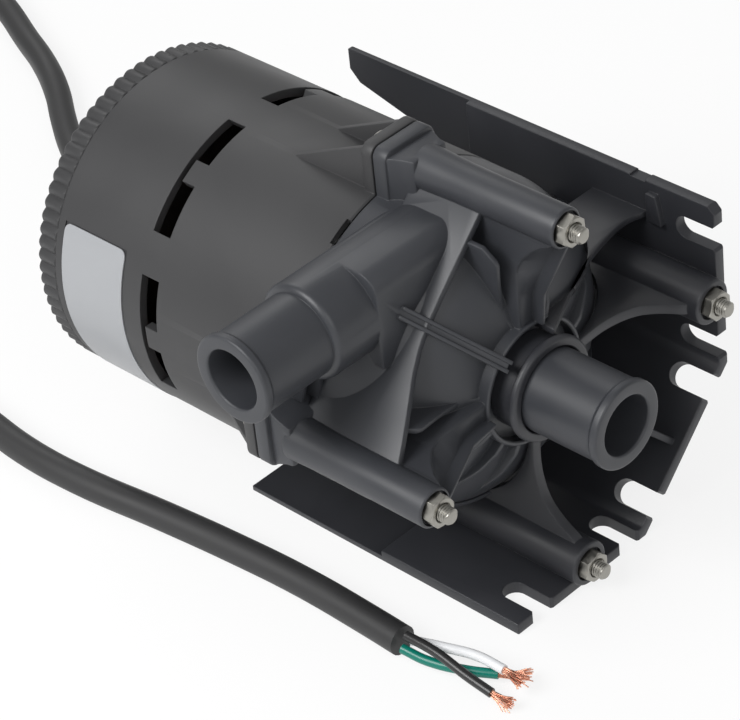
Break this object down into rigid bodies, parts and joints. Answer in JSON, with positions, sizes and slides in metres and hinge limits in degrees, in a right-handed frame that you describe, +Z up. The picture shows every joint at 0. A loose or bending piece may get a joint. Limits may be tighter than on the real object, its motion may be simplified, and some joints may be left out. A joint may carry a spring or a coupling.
{
  "type": "circulator pump",
  "caption": "Sealed circulator pump with a spherical rotor, side discharge stub, slotted octagonal mounting bracket and a bare-ended supply cord.",
  "frame": {"origin": "centre of the pump's box on the floor, below the pump without its cord", "axes": "+Z up, +Y along the pump axis towards the rear cap, -Y is the suction side, -X the discharge side"},
  "size_m": [0.1956, 0.4413, 0.1253],
  "materials": {
    "volute_plastic": "satin glass-filled moulding",
    "bracket_plastic": "satin moulding",
    "housing_plastic": "satin glass-filled moulding",
    "soft_rubber": "matte rubber",
    "label_film": "satin film",
    "stainless_sheet": "bright stainless",
    "ceramic": "polished ceramic",
    "rotor_magnet": "sealed magnet",
    "impeller_plastic": "satin moulding",
    "stator_steel": "stacked laminations",
    "winding_wire": "enamelled copper wire",
    "zinc_steel": "zinc plated",
    "cord_jacket": "matte jacket",
    "green_insulation": "satin insulation",
    "white_insulation": "satin insulation",
    "black_insulation": "satin insulation",
    "bare_copper": "bare stranded copper"
  },
  "bodies": {
    "pump": {"volute_housing": "volute_plastic", "mounting_bracket": "bracket_plastic", "motor_housing": "housing_plastic", "rear_cap": "housing_plastic", "cord_gland": "soft_rubber", "rating_label": "label_film", "volute_seal": "soft_rubber", "separation_shell": "stainless_sheet", "bearing_post": "stainless_sheet", "bearing_ball": "ceramic", "stator_core": "stator_steel", "stator_winding_front": "winding_wire", "stator_winding_rear": "winding_wire", "bolt_right": "zinc_steel", "bolt_top": "zinc_steel", "bolt_left": "zinc_steel", "bolt_bottom": "zinc_steel", "nut_right": "zinc_steel", "nut_top": "zinc_steel", "nut_left": "zinc_steel", "nut_bottom": "zinc_steel", "cord_lead": "cord_jacket", "cord_coil": "cord_jacket", "cord_tail": "cord_jacket", "wire_green": "green_insulation", "wire_white": "white_insulation", "wire_black": "black_insulation", "copper_green": "bare_copper", "copper_white": "bare_copper", "copper_black": "bare_copper"},
    "rotor": {"rotor_cup": "rotor_magnet", "impeller": "impeller_plastic"}
  },
  "joints": [
    {"name": "rotor_spin", "type": "hinge", "parent": "pump", "child": "rotor", "pos_m": [0, -0.008, 0.0638], "axis": [0, 1, 0], "continuous": true}
  ]
}
